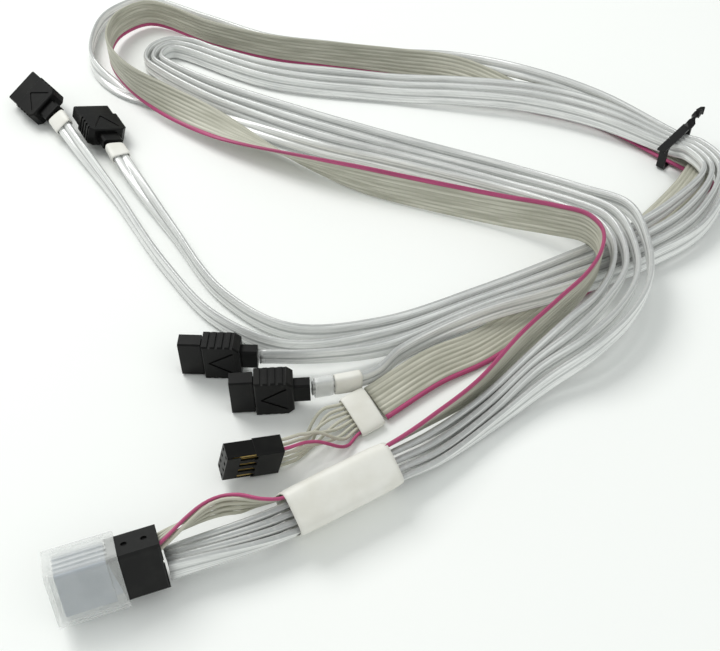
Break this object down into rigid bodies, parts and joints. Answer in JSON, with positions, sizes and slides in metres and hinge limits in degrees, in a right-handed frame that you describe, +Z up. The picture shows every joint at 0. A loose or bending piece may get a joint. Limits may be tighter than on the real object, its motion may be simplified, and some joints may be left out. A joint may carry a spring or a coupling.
{
  "type": "fan-out cable",
  "caption": "Internal breakout cable: capped high-density plug, flat twin-axial legs to seven-way plugs, and a sideband ribbon to a crimp housing, loosely coiled.",
  "frame": {"origin": "on the table, under the body of the leg plug nearest the crimp housing (plug_4), which stands on its narrow side", "axes": "+Z up from the table; +Y away from the viewer across the coil, towards the far hairpin; +X to the viewer's right, towards the twist tie"},
  "size_m": [0.2309, 0.2531, 0.0179],
  "materials": {
    "black_plastic": "moulded, satin, slightly warm black",
    "leg_jacket": "translucent jacket over a silver screen, glossy",
    "ribbon_jacket": "soft grey, ribbed along its conductors, one edge marked pink",
    "wire_jacket": "soft grey",
    "pink_wire_jacket": "faded pink",
    "white_sleeve": "heat-shrink, left blank",
    "clear_sleeve": "clear heat-shrink",
    "cap_plastic": "translucent white, thin moulded",
    "nose_metal": "satin nickel",
    "card_laminate": "glass-fibre laminate",
    "contact_brass": "stamped",
    "tie_jacket": "coated wire strip, satin black"
  },
  "bodies": {
    "root": {"plug_1_body": "black_plastic", "plug_1_nose": "black_plastic", "plug_2_body": "black_plastic", "plug_2_nose": "black_plastic", "plug_3_body": "black_plastic", "plug_3_nose": "black_plastic", "plug_4_body": "black_plastic", "plug_4_nose": "black_plastic", "leg_to_plug_1": "leg_jacket", "leg_to_plug_2": "leg_jacket", "leg_to_plug_3": "leg_jacket", "leg_to_plug_4": "leg_jacket", "leg_1_sleeve": "white_sleeve", "leg_2_sleeve": "white_sleeve", "leg_4_sleeve": "white_sleeve", "leg_4_clear_sleeve": "clear_sleeve", "sideband_ribbon": "ribbon_jacket", "ribbon_label_sleeve": "white_sleeve", "main_label_sleeve": "white_sleeve", "sideband_housing": "black_plastic", "sideband_contact_1": "contact_brass", "sideband_contact_2": "contact_brass", "sideband_contact_3": "contact_brass", "sideband_contact_4": "contact_brass", "sideband_contact_5": "contact_brass", "sideband_contact_6": "contact_brass", "sideband_contact_7": "contact_brass", "sideband_contact_8": "contact_brass", "sideband_wire_1": "wire_jacket", "sideband_wire_2": "wire_jacket", "sideband_wire_3": "wire_jacket", "sideband_wire_4": "wire_jacket", "sideband_wire_5": "wire_jacket", "sideband_wire_6": "wire_jacket", "sideband_wire_7": "wire_jacket", "sideband_wire_8": "pink_wire_jacket", "host_wire_1": "wire_jacket", "host_wire_2": "wire_jacket", "host_wire_3": "wire_jacket", "host_wire_4": "wire_jacket", "host_wire_5": "wire_jacket", "host_wire_6": "wire_jacket", "host_wire_7": "wire_jacket", "host_wire_8": "pink_wire_jacket", "host_housing": "black_plastic", "host_nose": "nose_metal", "host_card_upper": "card_laminate", "host_card_lower": "card_laminate", "dust_cap": "cap_plastic", "twist_tie": "tie_jacket"}
  },
  "joints": []
}
